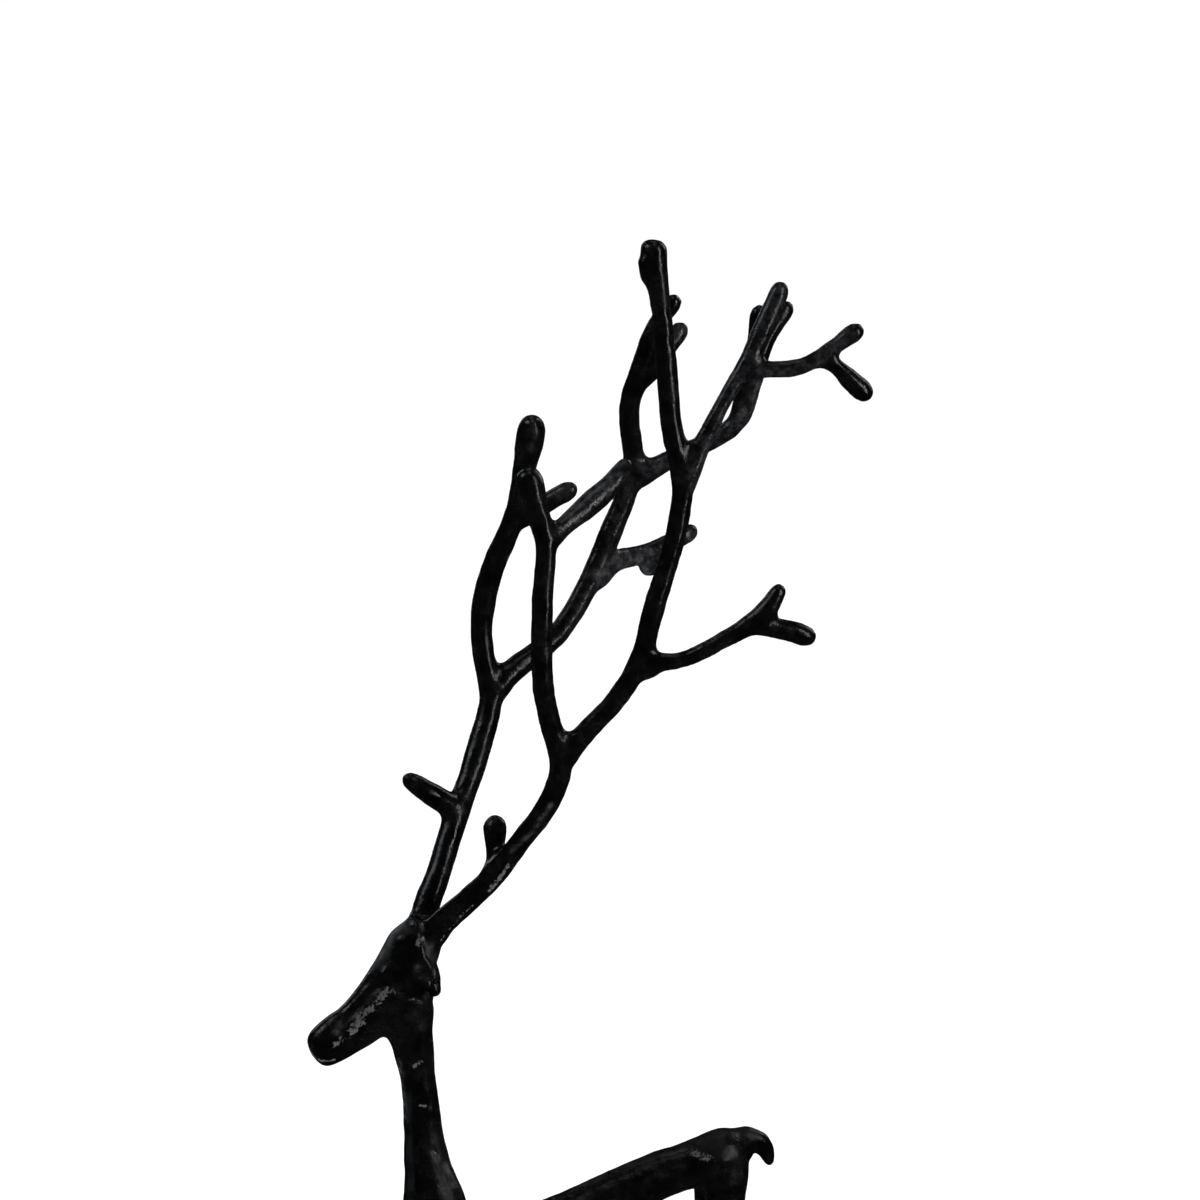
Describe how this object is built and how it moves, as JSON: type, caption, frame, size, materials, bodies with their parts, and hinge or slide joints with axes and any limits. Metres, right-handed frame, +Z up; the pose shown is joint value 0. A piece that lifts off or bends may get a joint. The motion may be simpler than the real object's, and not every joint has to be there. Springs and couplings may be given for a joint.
{
  "type": "metal reindeer figure",
  "caption": "Slender standing reindeer of dark cast metal with very tall branching antlers, on a low base plate with rounded corners.",
  "frame": {"origin": "centre of the base plate's underside", "axes": "+Z up, the nose points toward -X and the tail toward +X, and the animal's left side is -Y"},
  "size_m": [0.2745, 0.1708, 0.6937],
  "materials": {
    "figure_metal": "black satin gloss over hand-worked cast metal, rubbed brighter on edges and tine ends",
    "base_metal": "black satin gloss"
  },
  "bodies": {
    "root": {"reindeer": "figure_metal", "base": "base_metal"}
  },
  "joints": []
}
